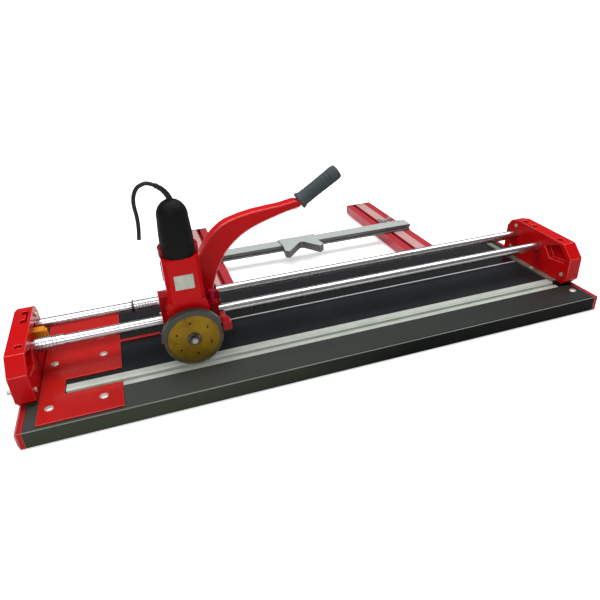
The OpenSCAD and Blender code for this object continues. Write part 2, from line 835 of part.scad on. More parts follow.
// Spindle with its bevel gear.
module spindle() {
    color("#a9adaf") at_frame() difference() {
        union() {
            y_rod(saw_x, spindle_z, spindle_r, 73, 137.5);
            translate([saw_x, motor_y, spindle_z]) rotate([-90, 0, 0]) rotate_extrude() polygon([
                [0, -17], [gear_r + 1, -16], [gear_r + 1, -pinion_r - apex_gap],
                [gear_r * 18 / 26, -pinion_r * 18 / 26 - apex_gap],
                [gear_r * 18 / 26 - 1, -pinion_r * 18 / 26 - apex_gap],
                [0, -pinion_r * 18 / 26 - apex_gap],
            ]);
        }
        for (a = [0 : 11.25 : 348.75]) translate([saw_x, motor_y, spindle_z]) rotate([0, a, 0])
            translate([-0.8, -7.6, 19]) cube([1.6, 3, 10]);
    }
}

// Disc of the blade with its cooling holes.
module blade_core() {
    color("#785a24") at_frame() difference() {
        y_rod(saw_x, spindle_z, blade_r - 7, blade_y, blade_y + blade_t);
        y_rod(saw_x, spindle_z, spindle_r + 0.02, blade_y - 1, blade_y + blade_t + 1);
        for (a = [24 : 60 : 324]) translate([saw_x, 0, spindle_z]) rotate([0, a, 0])
            y_rod(33.5, 0, 2.1, blade_y - 1, blade_y + blade_t + 1);
    }
}

// Diamond rim of the blade, slotted.
module blade_rim() {
    color("#6d6b64") at_frame() difference() {
        y_rod(saw_x, spindle_z, blade_r, blade_y - 0.3, blade_y + blade_t + 0.3);
        y_rod(saw_x, spindle_z, blade_r - 7, blade_y - 1, blade_y + blade_t + 1);
        for (a = [0 : 24 : 336]) translate([saw_x, 0, spindle_z]) rotate([0, a, 0])
            slab([blade_r - 4, blade_y - 1, -0.8], [blade_r + 1, blade_y + blade_t + 1, 0.8]);
    }
}

// Clamping flanges and nut of the blade.
module blade_flanges() {
    color("#c3c6c8") at_frame() difference() {
        union() {
            y_rod(saw_x, spindle_z, 15, blade_y + blade_t, 96);
            translate([saw_x, blade_y, spindle_z]) rotate([90, 0, 0])
                rotate_extrude() polygon([[0, 0], [13, 0], [12.4, 2.2], [10, 3.2], [0, 3.2]]);
            translate([saw_x, blade_y - 3.2, spindle_z]) rotate([90, 0, 0])
                cylinder(r = 8.6, h = 5.5, $fn = 6);
        }
        y_rod(saw_x, spindle_z, spindle_r + 0.02, 70, 97);
    }
}

// ---------- Fence ----------

// Bar that the tile rests against, with a track in its front face for the stop.
module fence_bar() {
    color("#c3c8c4") at_frame() difference() {
        slab([fence_x0, fence_front, table_top], [fence_x1, fence_rear, fence_top]);
        slab([fence_x0 - 1, fence_front - 1, table_top + 4],
             [fence_x1 + 1, fence_front + 5, table_top + 9]);
        for (x = [left_arm_x + arm_w - 4, right_arm_x + arm_w - 20])
            z_rod(x, fence_rear - 8, 3, fence_top - 6, fence_top + 1);
    }
}

// Clamping lugs behind the bar, with bolts that run in the tracks of the arms.
module fence_clamps() {
    lx = left_arm_x + arm_w - track_off;
    rx = right_arm_x + track_off;
    color("#b6babc") at_frame() union() {
        slab([lx - 16, clamp_y0, table_top], [lx + 42, clamp_y0 + clamp_w, table_top + 8]);
        slab([rx - 14, clamp_y0, table_top], [rx + 56, clamp_y0 + clamp_w, table_top + 8]);
        for (x = [lx, rx]) {
            z_rod(x, clamp_y, 3, 26, 52);
            slab([x - 7, clamp_y - 7, 21], [x + 7, clamp_y + 7, 26]);
        }
    }
}

// Wing knob on a clamping bolt.
module wing_knob(x) {
    color("#d0d3d5") at_frame() translate([x, clamp_y, table_top + 8]) difference() {
        union() {
            cylinder(r = 8, h = 12);
            for (s = [-1, 1]) y_prism(
                [[s * 5, 1], [s * 9, 4], [s * 12, 12], [s * 20, 13], [s * 24, 19], [s * 19, 22],
                 [s * 5, 14]], -2, 2
            );
        }
        z_rod(0, 0, 3 + fit_gap, -1, 20);
    }
}

module left_wing_knob() {
    wing_knob(left_arm_x + arm_w - track_off);
}

module right_wing_knob() {
    wing_knob(right_arm_x + track_off);
}

// Notched stop that turns a tile's corner to the blade; it slides along the bar.
module angle_stop() {
    top = fence_top + 4;
    over = fence_top + loose_gap;
    color("#a9ada8") at_frame() union() {
        translate([0, 0, over]) linear_extrude(top - over) polygon([
            [stop_x - 62, fence_rear - 2], [stop_x + 48, fence_rear - 2],
            [stop_x + 42, fence_front - 6], [stop_x + 47, fence_front - 42],
            [stop_x + 34, fence_front - 51], [stop_x, fence_front - 4],
            [stop_x - 10, fence_front - 4], [stop_x - 54, fence_front - 53],
            [stop_x - 64, fence_front - 46], [stop_x - 60, fence_front - 6],
        ]);
        translate([0, 0, table_top + 2]) linear_extrude(over - table_top - 2) polygon([
            [stop_x - 59, fence_front - loose_gap], [stop_x + 42, fence_front - loose_gap],
            [stop_x + 47, fence_front - 42], [stop_x + 34, fence_front - 51],
            [stop_x, fence_front - 4], [stop_x - 10, fence_front - 4],
            [stop_x - 54, fence_front - 53], [stop_x - 64, fence_front - 46],
        ]);
        slab([stop_x - 50, fence_front - loose_gap, table_top + 4.3],
             [stop_x + 40, fence_front + 4.5, table_top + 8.7]);
    }
}

base_table();
front_deck();
centre_pad();
rear_deck();
breaking_ridge();
edge_trim();
left_foot_plate();
right_foot_plate();
plate_bolts();
left_end_cap();
right_end_cap();
left_housing();
right_housing();
frame_bolts();
front_rail();
rear_rail();
rail_collar();
bumper();
rubber_feet();
left_arm();
right_arm();
arm_scales();
arm_end_caps();
carriage_body();
carriage_bushes();
rear_sleeve();
carriage_pins();
carriage_bolts();
lever_arm();
lever_grip();
foot_block();
foot_pads();
foot_pins();
scoring_wheel();
motor_housing();
motor_cap();
gear_case();
label_plate();
saw_bracket();
saw_lock_knob();
blade_guard();
stator();
brush_gear();
bearings();
strain_relief();
mains_cord();
power_switch();
armature();
motor_fan();
spindle();
blade_core();
blade_rim();
blade_flanges();
fence_bar();
fence_clamps();
left_wing_knob();
right_wing_knob();
angle_stop();
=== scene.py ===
"""Looks of a rail tile cutter: a long table, two rails, a carriage with a lever and a motor saw."""
import json
import logging
import math
from dataclasses import dataclass
from enum import Enum
from typing import Callable, Iterable, Optional, Union

import bmesh
import bpy
from mathutils import Matrix, Vector


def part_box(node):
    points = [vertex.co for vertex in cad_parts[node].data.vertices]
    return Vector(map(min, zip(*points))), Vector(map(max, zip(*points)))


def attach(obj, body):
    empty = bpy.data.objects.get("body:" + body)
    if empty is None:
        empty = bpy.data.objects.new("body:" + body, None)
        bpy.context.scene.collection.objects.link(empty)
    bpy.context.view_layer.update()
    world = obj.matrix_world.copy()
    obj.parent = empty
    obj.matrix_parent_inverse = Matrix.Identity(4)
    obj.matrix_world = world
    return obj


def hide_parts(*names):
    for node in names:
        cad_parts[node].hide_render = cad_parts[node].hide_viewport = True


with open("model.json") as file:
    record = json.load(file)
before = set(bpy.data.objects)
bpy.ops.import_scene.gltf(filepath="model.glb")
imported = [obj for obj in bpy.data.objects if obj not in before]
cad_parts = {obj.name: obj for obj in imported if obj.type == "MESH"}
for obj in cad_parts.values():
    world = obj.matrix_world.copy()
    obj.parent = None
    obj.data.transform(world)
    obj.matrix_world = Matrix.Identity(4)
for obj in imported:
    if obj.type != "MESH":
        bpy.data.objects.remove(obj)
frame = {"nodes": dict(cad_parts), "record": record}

logging.basicConfig(level=logging.INFO, format="%(message)s")
LOG = logging.getLogger("tile_cutter")

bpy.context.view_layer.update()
MM = 0.001
RIM = "rim"
RIM_EDGE = 1.0  # value of the rim attribute on a rounded edge
RIM_PAINTED_HIGHLIGHT = 2.0  # value on a rounded edge that gets a painted highlight
CRISP_NODE = math.radians(30)  # edges of CAD nodes sharper than this stay crisp
ROUNDED = math.radians(32)  # edges sharper than this are rounded
COPLANAR = math.radians(1)  # faces that turn less than this are joined
WELD = 2e-6  # points nearer than this are merged, in metres
SAME_WAY = 0.86  # cosine under which two faces don't share a corner normal
NO_AREA = 1e-12
LABEL_BORDER = 0.0016
Colour = tuple[float, float, float]


# ---------------------------------------------------------------- shader graph

class Sock:
    """One socket or number whose arithmetic adds Math nodes to its graph."""

    def __init__(self, graph: "Graph", value: Union[float, bpy.types.NodeSocket]) -> None:
        """Keeps the graph that the maths nodes go into and the value itself."""
        self.graph = graph
        self.value = value

    def _op(self, operation: str, *others: object, first: Optional[object] = None) -> "Sock":
        """Adds one Math node.

        Args:
            operation: the Math node's operation.
            others: the operands after this one.
            first: an operand that stands before this one, for reflected forms.

        Returns:
            The result as a Sock.
        """
        operands = ([first] if first is not None else []) + [self] + list(others)
        values = {i: (o.value if isinstance(o, Sock) else o) for i, o in enumerate(operands)}
        return self.graph.out("ShaderNodeMath", {"operation": operation}, values)

    def __add__(self, other: object) -> "Sock":
        """This plus other."""
        return self._op("ADD", other)

    __radd__ = __add__

    def __sub__(self, other: object) -> "Sock":
        """This minus other."""
        return self._op("SUBTRACT", other)

    def __rsub__(self, other: object) -> "Sock":
        """Other minus this."""
        return self._op("SUBTRACT", first=other)

    def __mul__(self, other: object) -> "Sock":
        """This times other."""
        return self._op("MULTIPLY", other)

    __rmul__ = __mul__

    def __truediv__(self, other: object) -> "Sock":
        """This over other."""
        return self._op("DIVIDE", other)

    def __gt__(self, other: object) -> "Sock":
        """1 where this is more than other, and 0 elsewhere."""
        return self._op("GREATER_THAN", other)

    def __lt__(self, other: object) -> "Sock":
        """1 where this is less than other, and 0 elsewhere."""
        return self._op("LESS_THAN", other)

    def __abs__(self) -> "Sock":
        """Size of this, without its sign."""
        return self._op("ABSOLUTE")

    def fract(self) -> "Sock":
        """Part after the decimal point."""
        return self._op("FRACT")

    def clamp(self) -> "Sock":
        """This kept between 0 and 1."""
        return self.graph.out("ShaderNodeClamp", {}, {"Value": self.value})


class Graph:
    """Node tree of one material, with a principled surface."""

    def __init__(self, name: str) -> None:
        """Makes the material and its surface node."""
        self.material = bpy.data.materials.new(name)
        self.material.use_nodes = True
        self.tree = self.material.node_tree
        self.tree.nodes.clear()
        self.surface = self.node("ShaderNodeBsdfPrincipled")
        self.node("ShaderNodeOutputMaterial", {}, {"Surface": self.surface.outputs["BSDF"]})

    def node(self, kind: str, settings: Optional[dict] = None,
             values: Optional[dict] = None) -> bpy.types.Node:
        """Adds any node.

        Args:
            kind: the node's type.
            settings: attributes set first; "stops" holds a ramp's (place, colour) pairs.
            values: socket name or number to a constant, a Sock or a socket.

        Returns:
            The new node.
        """
        new = self.tree.nodes.new(kind)
        for key, value in (settings or {}).items():
            if key == "stops":
                ramp = new.color_ramp
                while len(ramp.elements) < len(value):
                    ramp.elements.new(0.5)
                for element, (place, colour) in zip(ramp.elements, value):
                    element.position = place
                    element.color = (*colour, 1) if len(colour) == 3 else colour
            else:
                setattr(new, key, value)
        for key, value in (values or {}).items():
            self.feed(new.inputs[key], value)
        return new

    def feed(self, socket: bpy.types.NodeSocket, value: object) -> None:
        """Links a socket or sets its constant."""
        if isinstance(value, Sock):
            value = value.value
        if isinstance(value, bpy.types.NodeSocket):
            self.tree.links.new(value, socket)
        elif isinstance(value, (tuple, list)) and len(value) == 3 and socket.type == "RGBA":
            socket.default_value = (*value, 1)
        else:
            socket.default_value = value

    def out(self, kind: str, settings: dict, values: dict, output: Union[int, str] = 0) -> Sock:
        """Adds a node and gives one of its outputs as a Sock."""
        return Sock(self, self.node(kind, settings, values).outputs[output])

    def place(self, scale: Colour = (1, 1, 1), centre: Colour = (0, 0, 0),
              turn: Colour = (0, 0, 0)) -> Sock:
        """Object coordinates, moved so that centre is the origin, then turned and scaled."""
        coords = self.out("ShaderNodeTexCoord", {}, {}, "Object")
        moved = self.out("ShaderNodeVectorMath", {"operation": "SUBTRACT"},
                         {0: coords, 1: centre})
        return self.out("ShaderNodeMapping", {"vector_type": "POINT"},
                        {"Vector": moved, "Scale": scale, "Rotation": turn})

    def noise(self, at: Sock, scale: float, detail: float = 3, rough: float = 0.55) -> Sock:
        """Noise from 0 to 1 at the given coordinates."""
        return self.out("ShaderNodeTexNoise", {},
                        {"Vector": at, "Scale": scale, "Detail": detail, "Roughness": rough})

    def rim(self) -> Sock:
        """1 on the rounded edges of a softened piece and 0 elsewhere."""
        return self.out("ShaderNodeAttribute", {"attribute_name": RIM}, {}, "Fac")

    def axes(self, at: Sock) -> tuple[Sock, Sock, Sock]:
        """The three numbers of a vector."""
        split = self.node("ShaderNodeSeparateXYZ", {}, {0: at})
        return tuple(Sock(self, split.outputs[i]) for i in range(3))

    def length(self, at: Sock) -> Sock:
        """Length of a vector."""
        return self.out("ShaderNodeVectorMath", {"operation": "LENGTH"}, {0: at}, "Value")

    def mix(self, factor: Sock, low: object, high: object) -> Sock:
        """Colour that goes from low to high."""
        return self.out("ShaderNodeMix", {"data_type": "RGBA", "clamp_factor": True},
                        {0: factor, 6: low, 7: high}, 2)

    def span(self, value: Sock, low: float, high: float, to_low: float, to_high: float) -> Sock:
        """Value taken from one range to another and kept inside it."""
        return self.out("ShaderNodeMapRange", {},
                        {0: value, 1: low, 2: high, 3: to_low, 4: to_high})

    def bump(self, height: Sock, strength: float, distance: float) -> Sock:
        """Normal that follows a height."""
        return self.out("ShaderNodeBump", {},
                        {"Strength": strength, "Distance": distance, "Height": height})

    def dress(self, **values: object) -> bpy.types.Material:
        """Sets the surface's sockets, named with _ for a space, and gives the material."""
        for key, value in values.items():
            self.feed(self.surface.inputs[key.replace("_", " ")], value)
        return self.material


# ---------------------------------------------------------------- finishes

class Grain(Enum):
    """Direction in which a finish was brushed, drawn or rolled."""

    ALONG_X = (6, 900, 900)
    ALONG_Y = (900, 6, 900)
    NONE = (90, 90, 90)


@dataclass(frozen=True)
class Paint:
    """Glossy paint over metal, with a faint orange peel, small scuffs, and lighter rounded edges that are
    partly wear and partly painted highlight.
    """

    name: str
    colour: Colour
    dark: Colour
    gloss: float = 0.28
    coat: float = 0.04
    peel: float = 0.05
    specular: float = 0.1
    # lifts the colour of the rounded edges, which are partly wear and partly painted highlight
    rub: float = 0.04
    shine: float = 0.7
    # colour of the painted highlight on the marked rounded edges
    painted_highlight: Colour = (0.95, 0.55, 0.5)

    def material(self) -> bpy.types.Material:
        """Builds the paint."""
        g = Graph(self.name)
        at = g.place()
        tone = g.noise(at, 9, 4)
        scuff = g.span(g.noise(at, 46, 6, 0.7), 0.62, 0.78, 0, 1)
        streak = g.noise(g.place((30, 30, 190)), 1.0, 3)
        colour = g.mix(g.span(tone, 0.3, 0.7, 0, 1), self.dark, self.colour)
        colour = g.mix(scuff * 0.3, colour, tuple(0.6 * c + 0.01 for c in self.dark))
        # rounded edges lighter: partly paint rubbed thin, partly painted highlight
        wear_and_highlight = g.rim() * g.span(g.noise(at, 30, 5), 0.3, 0.6, 0.15, 0.65)
        colour = g.mix(wear_and_highlight, colour, tuple(min(1, 1.25 * c + self.rub) for c in self.colour))
        # painted highlight: marked rounded faces get a light pink highlight colour
        colour = g.mix((g.rim() > (RIM_EDGE + RIM_PAINTED_HIGHLIGHT) / 2) * 0.8, colour, self.painted_highlight)
        rough = g.span(tone, 0.2, 0.8, self.gloss - 0.05, self.gloss + 0.07) + scuff * 0.2
        height = g.noise(at, 420, 2) * 0.6 + streak * 0.2
        return g.dress(Base_Color=colour, Roughness=rough,
                       Normal=g.bump(height, self.peel * 2, 0.0003),
                       Specular_IOR_Level=self.specular,
                       Coat_Weight=g.rim() * self.shine + self.coat, Coat_Roughness=0.14)


@dataclass(frozen=True)
class Moulded:
    """Moulded plastic or rubber with a fine grain and a little dust."""

    name: str
    colour: Colour
    light: Colour
    rough: float = 0.55
    grain: float = 700
    depth: float = 0.2
    specular: float = 0.25
    dust: float = 0.2

    def material(self) -> bpy.types.Material:
        """Builds the plastic."""
        g = Graph(self.name)
        at = g.place()
        tone = g.noise(at, 14, 4)
        dust = g.span(g.noise(at, 60, 6, 0.75), 0.55, 0.85, 0, 1)
        colour = g.mix(g.span(tone, 0.3, 0.75, 0, 1), self.colour, self.light)
        colour = g.mix(dust * self.dust, colour, tuple(min(1, 1.8 * c + 0.01) for c in self.light))
        cells = g.out("ShaderNodeTexVoronoi", {"feature": "F1"},
                      {"Vector": at, "Scale": self.grain}, "Distance")
        return g.dress(Base_Color=colour,
                       Roughness=g.span(tone, 0.2, 0.8, self.rough - 0.06, self.rough + 0.08)
                       + dust * 0.08,
                       Normal=g.bump(cells, self.depth, 0.0002),
                       Specular_IOR_Level=self.specular)


@dataclass(frozen=True)
class Metal:
    """Bare, plated or anodised metal with a brushed or drawn grain; when a side colour is given, faces that
    don't look up get it as painted shade.
    """

    name: str
    colour: Colour
    dark: Colour
    rough: float = 0.3
    grain: Grain = Grain.NONE
    depth: float = 0.12
    metallic: float = 1.0
    # colour of painted shade on faces that don't look up
    sides: Optional[Colour] = None

    def material(self) -> bpy.types.Material:
        """Builds the metal."""
        g = Graph(self.name)
        lines = g.noise(g.place(self.grain.value), 1.6, 5, 0.6)
        cloud = g.noise(g.place(), 22, 4)
        smudge = g.span(g.noise(g.place(), 70, 5, 0.7), 0.55, 0.8, 0, 1)
        colour = g.mix((lines * 0.6 + cloud * 0.5).clamp(), self.dark, self.colour)
        # painted shade: faces that don't look up are darkened to the side colour
        if self.sides:
            _, _, up = g.axes(g.out("ShaderNodeTexCoord", {}, {}, "Normal"))
            colour = g.mix(g.span(up + cloud * 0.2, 0.35, 0.75, 0, 1), self.sides, colour)
        rough = g.span(lines, 0.25, 0.75, self.rough * 0.75, self.rough * 1.2) + smudge * 0.08
        return g.dress(Base_Color=colour, Roughness=rough, Metallic=self.metallic,
                       Normal=g.bump(lines, self.depth, 0.00015))


@dataclass(frozen=True)
class Coated:
    """Dark coated sheet or extrusion with long rolling lines; it darkens along X as painted shade.

    Where edge is given, the part in front of its Y and above its Z gets a painted highlight, a light line
    along that edge.
    """

    name: str
    colour: Colour
    light: Colour
    rough: float = 0.3
    metallic: float = 0.0
    specular: float = 0.2
    # strength of the painted shade that darkens along X
    painted_fade: float = 0.0
    # colour of the painted highlight line along the front top edge
    painted_highlight: Colour = (0.24, 0.25, 0.23)
    edge: Optional[tuple] = None

    def material(self) -> bpy.types.Material:
        """Builds the coated sheet."""
        g = Graph(self.name)
        lines = g.noise(g.place((3, 700, 700)), 1.4, 4)
        cloud = g.noise(g.place((1, 3, 3)), 4, 4)
        scuff = g.span(g.noise(g.place(), 58, 7, 0.72), 0.6, 0.8, 0, 1)
        along, _, _ = g.axes(g.place())
        # painted shade: the tint darkens towards +X
        tint = (cloud * 0.5 - g.span(along, -0.5, 0.55, -0.35, 0.65) * self.painted_fade + 0.3).clamp()
        colour = g.mix(tint, self.colour, self.light)
        colour = g.mix(scuff * 0.12, colour, tuple(1.8 * c + 0.01 for c in self.light))
        # rounded edges lighter: partly wear, partly painted highlight
        wear_and_highlight = g.rim() * g.span(g.noise(g.place(), 40, 5), 0.3, 0.6, 0.3, 0.8)
        colour = g.mix(wear_and_highlight, colour, tuple(2.2 * c + 0.03 for c in self.light))
        # painted highlight: a light line along the front top edge
        if self.edge:
            _, y, z = g.axes(g.place())
            line = (y < self.edge[0]) * (z > self.edge[1]) * (cloud * 0.6 + 0.35).clamp()
            colour = g.mix(line, colour, self.painted_highlight)
        rough = g.span(lines, 0.3, 0.7, self.rough - 0.04, self.rough + 0.06) + scuff * 0.12
        return g.dress(Base_Color=colour, Roughness=rough, Metallic=self.metallic,
                       Normal=g.bump(lines, 0.012, 0.00015), Specular_IOR_Level=self.specular)


@dataclass(frozen=True)
class Disc:
    """Turned or ground disc, with rings about an axis along Y."""

    name: str
    colour: Colour
    dark: Colour
    centre: Colour
    rough: float = 0.35
    grit: float = 0.0

    def material(self) -> bpy.types.Material:
        """Builds the disc."""
        g = Graph(self.name)
        at = g.place((1, 0, 1), self.centre)
        radius = g.length(at)
        rings = g.noise(g.out("ShaderNodeCombineXYZ", {}, {0: radius}), 900, 4)
        cloud = g.noise(g.place(), 26, 5)
        stain = g.span(g.noise(g.place(), 60, 6, 0.7), 0.5, 0.75, 0, 1)
        grit = g.noise(g.place(), 1500, 2)
        colour = g.mix(g.span(cloud, 0.3, 0.7, 0, 1), self.dark, self.colour)
        colour = g.mix(stain * 0.45, colour, tuple(0.45 * c for c in self.dark))
        rough = g.span(rings, 0.3, 0.7, self.rough - 0.08, self.rough + 0.1) + stain * 0.12
        height = rings * (1 - self.grit) + grit * self.grit * 2.5
        return g.dress(Base_Color=colour, Roughness=rough, Metallic=0.85 - 0.35 * self.grit,
                       Normal=g.bump(height, 0.25 + self.grit * 0.5, 0.0003))


@dataclass(frozen=True)
class Chrome:
    """Plated round bar with faint drawn lines.

    The front bar, up to corner's Y, is ringed between the rings' X, and the rear one between the
    bands' X.
    """

    name: str
    colour: Colour
    dark: Colour
    corner: Colour
    rough: float = 0.24
    rings: tuple = (-0.58, -0.522)
    bands: tuple = (-0.387, -0.349)
    pitch: float = 0.0062
    shadow: Colour = (0.05, 0.045, 0.05)

    def material(self) -> bpy.types.Material:
        """Builds the plating."""
        g = Graph(self.name)
        x, y, _ = g.axes(g.place())
        lines = g.noise(g.place(Grain.ALONG_X.value), 1.6, 5, 0.6)
        cloud = g.noise(g.place((4, 60, 60)), 3, 4)
        smudge = g.span(g.noise(g.place(), 60, 5, 0.7), 0.5, 0.8, 0, 1)
        front = y < self.corner[1]
        turned = (x > self.rings[0]) * (x < self.rings[1]) * front
        banded = (x > self.bands[0]) * (x < self.bands[1]) * (1 - front)
        groove = ((x / self.pitch).fract() < 0.35) * (turned + banded)
        dark_end = banded * (x < self.bands[0] + self.pitch)
        colour = g.mix((lines * 0.5 + cloud * 0.5).clamp(), self.dark, self.colour)
        colour = g.mix((groove * 0.4 + dark_end * 0.8).clamp(), colour, self.shadow)
        return g.dress(Base_Color=colour, Metallic=1.0,
                       Roughness=g.span(lines, 0.25, 0.75, self.rough * 0.8, self.rough * 1.15)
                       + smudge * 0.06 + groove * 0.2,
                       Normal=g.bump(lines * 0.05 - groove * 0.6, 0.05, 0.00015))


@dataclass(frozen=True)
class Scale:
    """Measuring strip with plain tick marks along Y."""

    name: str
    colour: Colour
    ink: Colour
    left: float
    width: float
    fine_per_m: int = 200
    coarse_per_m: int = 20

    def material(self) -> bpy.types.Material:
        """Builds the strip."""
        g = Graph(self.name)
        at = g.place()
        x, y, _ = g.axes(at)
        across = (x - self.left) / self.width
        fine = ((y * self.fine_per_m).fract() < 0.16) * (across < 0.3)
        coarse = ((y * self.coarse_per_m).fract() < 0.03) * (across < 0.6)
        ink = (fine + coarse).clamp()
        wear = g.span(g.noise(at, 30, 5), 0.4, 0.7, 0.4, 1)
        tone = g.mix(g.noise(at, 18, 4), self.colour, tuple(0.8 * c for c in self.colour))
        return g.dress(Base_Color=g.mix(ink * wear, tone, self.ink),
                       Roughness=g.span(g.noise(at, 80), 0.3, 0.7, 0.38, 0.5),
                       Normal=g.bump(g.noise(at, 500), 0.1, 0.0002))


@dataclass(frozen=True)
class Label:
    """Blank label with a faint border and worn print-free face."""

    name: str
    colour: Colour
    low: Colour
    high: Colour

    def material(self) -> bpy.types.Material:
        """Builds the label."""
        g = Graph(self.name)
        at = g.place()
        x, _, z = g.axes(at)
        edge, rim = (
            abs(at_axis - (self.low[i] + self.high[i]) / 2)
            > (self.high[i] - self.low[i]) / 2 - LABEL_BORDER for at_axis, i in ((x, 0), (z, 2)))
        cloud = g.span(g.noise(at, 90, 5), 0.35, 0.7, 0, 1)
        colour = g.mix(cloud, self.colour, tuple(0.78 * c for c in self.colour))
        colour = g.mix(((edge + rim).clamp()) * 0.4, colour, (0.3, 0.3, 0.28))
        return g.dress(Base_Color=colour, Roughness=g.span(cloud, 0, 1, 0.3, 0.45),
                       Normal=g.bump(g.noise(at, 300), 0.08, 0.0002))


def middle(node: str) -> Vector:
    """Middle of a CAD node's box."""
    low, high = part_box(node)
    return (low + high) / 2


SPINDLE = middle("blade_core")


@dataclass(frozen=True)
class Palette:
    """Every finish of the tile cutter, made once."""

    made: dict

    @classmethod
    def mix_all(cls) -> "Palette":
        """Builds all finishes.

        Returns:
            The palette, keyed by finish name.
        """
        hub = tuple(SPINDLE)
        label_low, label_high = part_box("label_plate")
        strip_low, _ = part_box("arm_scales")
        table_low, table_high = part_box("base_table")
        finishes = [
            Paint("red_cast", (0.5, 0.004, 0.005), (0.42, 0.003, 0.004), 0.24, specular=0.06),
            # painted shade: the carriage red is a darker copy of the cast red, for the shade it sits in
            Paint("red_carriage", (0.33, 0.003, 0.006), (0.24, 0.002, 0.005), 0.28),
            Paint("red_steel", (0.41, 0.012, 0.009), (0.34, 0.008, 0.007), 0.2, 0.04, 0.03, 0.14),
            Paint("crimson_pin", (0.4, 0.008, 0.04), (0.3, 0.006, 0.03), 0.25),
            Paint("red_plastic", (0.36, 0.008, 0.01), (0.28, 0.005, 0.007), 0.36),
            Metal("zinc_plate", (0.30, 0.29, 0.24), (0.2, 0.19, 0.16), 0.42, Grain.ALONG_Y, 0.1, 0.6),
            Metal("red_anodised", (0.46, 0.022, 0.038), (0.33, 0.012, 0.022), 0.42, Grain.ALONG_Y,
                  0.1, 0.15),
            # black_profile and olive_deck darken along X as painted shade; black_profile's edge is a
            # painted highlight line
            Coated("black_profile", (0.002, 0.003, 0.0025), (0.037, 0.045, 0.031), 0.4, 0.0,
                   0.04, 1.9, edge=(table_low.y + 0.0016, table_high.z - 0.0014)),
            Coated("olive_deck", (0.016, 0.019, 0.017), (0.043, 0.047, 0.041), 0.36, 0.0, 0.16, 0.95),
            Moulded("pad_rubber", (0.009, 0.0105, 0.012), (0.013, 0.015, 0.017), 0.5, 900, 0.1, 0.07,
                    0.06),
            Coated("gloss_black", (0.005, 0.005, 0.006), (0.010, 0.010, 0.012), 0.2, 0.0, 0.3),
            Metal("ridge_alu", (0.66, 0.7, 0.63), (0.2, 0.235, 0.21), 0.4, Grain.ALONG_X, 0.25, 0.35),
            Metal("bright_trim", (0.8, 0.81, 0.82), (0.6, 0.62, 0.63), 0.3, Grain.ALONG_X, 0.1, 0.3),
            Metal("bolt_steel", (0.6, 0.5, 0.44), (0.4, 0.34, 0.3), 0.35, Grain.NONE, 0.12, 0.5),
            Chrome("rail_chrome", (0.62, 0.61, 0.62), (0.52, 0.51, 0.52), tuple(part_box("front_rail")[1])),
            Moulded("bumper_orange", (0.5, 0.15, 0.006), (0.6, 0.22, 0.012), 0.5),
            Moulded("foot_rubber", (0.012, 0.012, 0.012), (0.03, 0.03, 0.03), 0.75, 500, 0.4),
            Metal("bronze", (0.6, 0.4, 0.16), (0.42, 0.26, 0.1), 0.4),
            Metal("dark_steel", (0.12, 0.11, 0.1), (0.06, 0.055, 0.05), 0.35),
            Metal("steel_pin", (0.42, 0.38, 0.38), (0.26, 0.23, 0.24), 0.38),
            Moulded("grip_rubber", (0.042, 0.05, 0.053), (0.06, 0.07, 0.074), 0.7, 520, 0.35, 0.2),
            Metal("carbide", (0.4, 0.41, 0.42), (0.24, 0.25, 0.26), 0.3),
            Label("label_grey", (0.46, 0.475, 0.4), tuple(label_low), tuple(label_high)),
            Metal("guard_steel", (0.035, 0.038, 0.027), (0.018, 0.02, 0.014), 0.4, Grain.NONE, 0.1, 0.2),
            Metal("winding", (0.3, 0.2, 0.12), (0.18, 0.11, 0.06), 0.5),
            Moulded("cord_pvc", (0.006, 0.006, 0.007), (0.012, 0.012, 0.013), 0.4, 400, 0.1),
            Moulded("black_plastic", (0.005, 0.005, 0.005), (0.009, 0.009, 0.0085), 0.5, 800, 0.15,
                    0.07, 0.06),
            Disc("blade_gold", (0.28, 0.17, 0.01), (0.18, 0.105, 0.008), hub, 0.45),
            Disc("blade_rim", (0.11, 0.095, 0.045), (0.07, 0.06, 0.035), hub, 0.5, 0.8),
            # fence_alu's last colour is painted shade on the fence's sides
            Metal("fence_alu", (0.43, 0.46, 0.44), (0.34, 0.37, 0.355), 0.5, Grain.ALONG_X, 0.08, 0.12,
                  (0.09, 0.095, 0.092)),
            Metal("silver_hardware", (0.6, 0.61, 0.62), (0.42, 0.43, 0.44), 0.3, Grain.NONE, 0.12, 0.6),
            Scale("scale_strip", (0.52, 0.3, 0.28), (0.1, 0.05, 0.05), strip_low.x, 0.028),
        ]
        return cls({f.name: f.material() for f in finishes})

    def __getitem__(self, name: str) -> bpy.types.Material:
        """The finish of that name."""
        return self.made[name]


# ---------------------------------------------------------------- workshop

